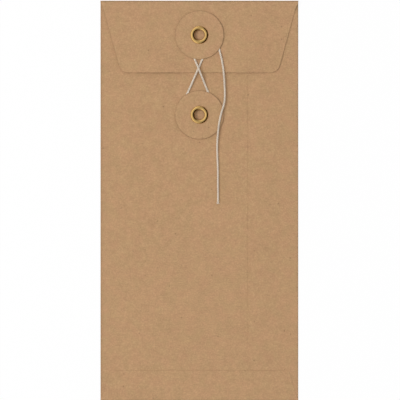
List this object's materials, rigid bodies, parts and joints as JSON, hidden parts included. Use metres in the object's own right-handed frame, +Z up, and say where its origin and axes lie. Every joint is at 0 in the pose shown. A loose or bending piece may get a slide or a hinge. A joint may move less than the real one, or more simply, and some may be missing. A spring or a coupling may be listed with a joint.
{
  "type": "string tie envelope",
  "caption": "Slim kraft paper pocket envelope with a tapered closing flap, card tie buttons on brass eyelets and a cotton string wound round them in a figure of eight.",
  "frame": {"origin": "middle of the front panel's outer face, on the table that the envelope lies on", "axes": "+X across the envelope, +Y towards the crease of the closing flap, +Z up out of the back with the buttons"},
  "size_m": [0.109, 0.2204, 0.0044],
  "materials": {
    "kraft_paper": "uncoated brown kraft paper with fine fibres",
    "button_card": "die-cut solid kraft card",
    "eyelet_brass": "polished rolled brass",
    "cotton_string": "twisted undyed cotton",
    "dried_gum": "thin dried gum"
  },
  "bodies": {
    "pocket": {"front_panel": "kraft_paper", "wide_back_panel": "kraft_paper", "narrow_back_panel": "kraft_paper", "seam_step": "kraft_paper", "seam_lap": "kraft_paper", "side_seam_gum": "dried_gum", "left_side_fold": "kraft_paper", "right_side_fold": "kraft_paper", "bottom_fold": "kraft_paper", "bottom_flap": "kraft_paper", "bottom_flap_gum": "dried_gum", "flap_fold": "kraft_paper", "lower_eyelet": "eyelet_brass"},
    "flap": {"closing_flap": "kraft_paper", "upper_eyelet": "eyelet_brass", "string_anchor_turns": "cotton_string", "string_downward_stretch": "cotton_string", "string_lower_loop": "cotton_string", "string_upward_stretch": "cotton_string", "string_upper_loop": "cotton_string", "string_tail": "cotton_string"},
    "upper_button": {"upper_disc": "button_card"},
    "lower_button": {"lower_disc": "button_card"}
  },
  "joints": [
    {"name": "flap_hinge", "type": "hinge", "parent": "pocket", "child": "flap", "pos_m": [0, 0.10923, 0.00103], "axis": [-1, 0, 0], "range_deg": [0, 165], "deforming": ["flap_fold", "string_lower_loop"]},
    {"name": "upper_disc_spin", "type": "hinge", "parent": "flap", "child": "upper_button", "pos_m": [0, 0.09125, 0.0027], "axis": [0, 0, 1], "continuous": true},
    {"name": "lower_disc_spin", "type": "hinge", "parent": "pocket", "child": "lower_button", "pos_m": [0, 0.0473, 0.00185], "axis": [0, 0, 1], "continuous": true}
  ]
}
